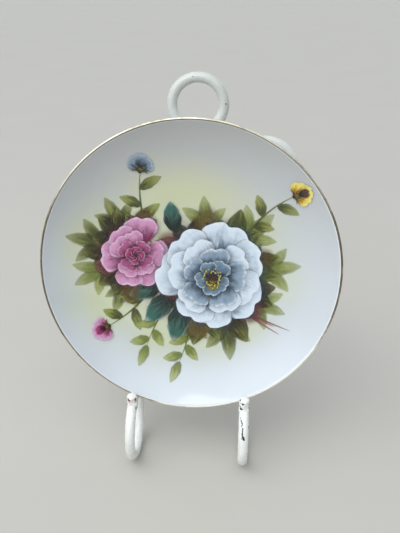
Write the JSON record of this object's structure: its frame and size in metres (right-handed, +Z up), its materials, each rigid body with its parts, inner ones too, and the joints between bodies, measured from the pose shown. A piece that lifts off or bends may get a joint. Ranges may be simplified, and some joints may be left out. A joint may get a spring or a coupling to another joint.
{
  "type": "display plate on a folding stand",
  "caption": "Shallow round dish plate with a gilt rim, resting on a folding white stand of bent rod with a ring handle.",
  "frame": {"origin": "on the table, in the middle plane, midway between the line of the two front feet and the rear foot", "axes": "+X to the right of someone facing the plate, +Y away from them, +Z up"},
  "size_m": [0.1906, 0.1571, 0.2495],
  "materials": {
    "porcelain": "glazed white porcelain, opaque, painted with flowers",
    "gilding": "worn gilt line",
    "stand_paint": "thick glossy white paint on steel rod, chipped"
  },
  "bodies": {
    "stand": {"handle_ring": "stand_paint", "left_side_rod": "stand_paint", "right_side_rod": "stand_paint", "neck_collar": "stand_paint", "lower_crossbar": "stand_paint", "hinge_crossbar": "stand_paint", "left_foot_loop": "stand_paint", "right_foot_loop": "stand_paint", "left_rim_hook": "stand_paint", "right_rim_hook": "stand_paint", "hinge_bracket": "stand_paint", "hinge_pin": "stand_paint"},
    "rear_leg": {"leg_eye": "stand_paint", "rear_leg": "stand_paint"},
    "plate": {"plate_body": "porcelain", "rim_gilding": "gilding"}
  },
  "joints": [
    {"name": "plate_lift", "type": "slide", "parent": "stand", "child": "plate", "axis": [0, 0, 1], "range_m": [0, 0.22]},
    {"name": "rear_leg_fold", "type": "hinge", "parent": "stand", "child": "rear_leg", "pos_m": [0, -0.00386, 0.17303], "axis": [-1, 0, 0], "range_deg": [0, 30]}
  ]
}
